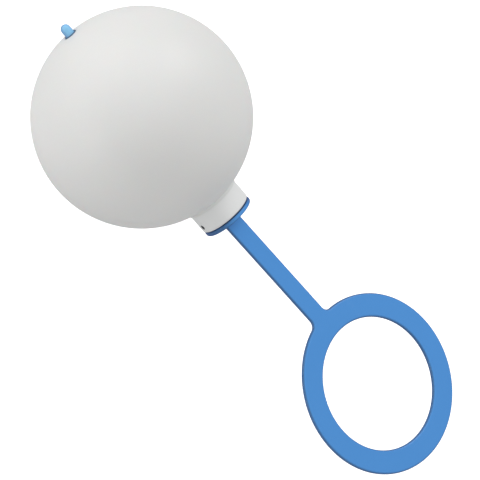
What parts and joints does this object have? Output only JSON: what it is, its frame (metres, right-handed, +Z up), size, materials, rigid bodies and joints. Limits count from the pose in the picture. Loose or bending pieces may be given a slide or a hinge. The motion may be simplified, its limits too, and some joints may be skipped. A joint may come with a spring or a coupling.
{
  "type": "pipette filler bulb",
  "caption": "Soft squeeze ball with a rigid pipette socket, a side vent, a push release valve and a strap-and-ring pull stopper.",
  "frame": {"origin": "on the resting surface under the middle of the object's box; the ball and the ring's far edge stand on it", "axes": "+Z up; the device's own axis lies in the XZ plane and runs from the ball towards +X, dipping 13.49 degrees below level; +Y across the strap"},
  "size_m": [0.155, 0.06, 0.06],
  "materials": {
    "soft_white": "satin soft vinyl",
    "hard_white": "semi-gloss moulded",
    "membrane": "porous, matte",
    "blue_plastic": "semi-gloss moulded",
    "grey_rubber": "matte",
    "spring_steel": "bright wire"
  },
  "bodies": {
    "bulb": {"squeeze_bulb": "soft_white", "neck_collar": "hard_white", "socket_sleeve": "grey_rubber", "filter_disc": "membrane", "filter_retainer": "hard_white", "valve_body": "blue_plastic", "valve_seat": "blue_plastic", "release_spring": "spring_steel"},
    "button": {"release_button": "blue_plastic", "poppet_seal": "grey_rubber", "poppet_clip": "hard_white"},
    "bung": {"stopper_bung": "grey_rubber"},
    "pull": {"ring_pull": "blue_plastic"}
  },
  "joints": [
    {"name": "release_press", "type": "slide", "parent": "bulb", "child": "button", "axis": [0.9724, 0, -0.2333], "range_m": [0, 0.0015], "stiffness_N_per_m": 200, "springref_m": -0.002, "deforming": ["release_spring"]},
    {"name": "stopper_pull", "type": "slide", "parent": "bulb", "child": "bung", "axis": [0.9724, 0, -0.2333], "range_m": [0, 0.009]},
    {"name": "ring_swivel", "type": "hinge", "parent": "bung", "child": "pull", "pos_m": [-0.01049, 0, 0.02169], "axis": [0.9724, 0, -0.2333], "continuous": true}
  ]
}
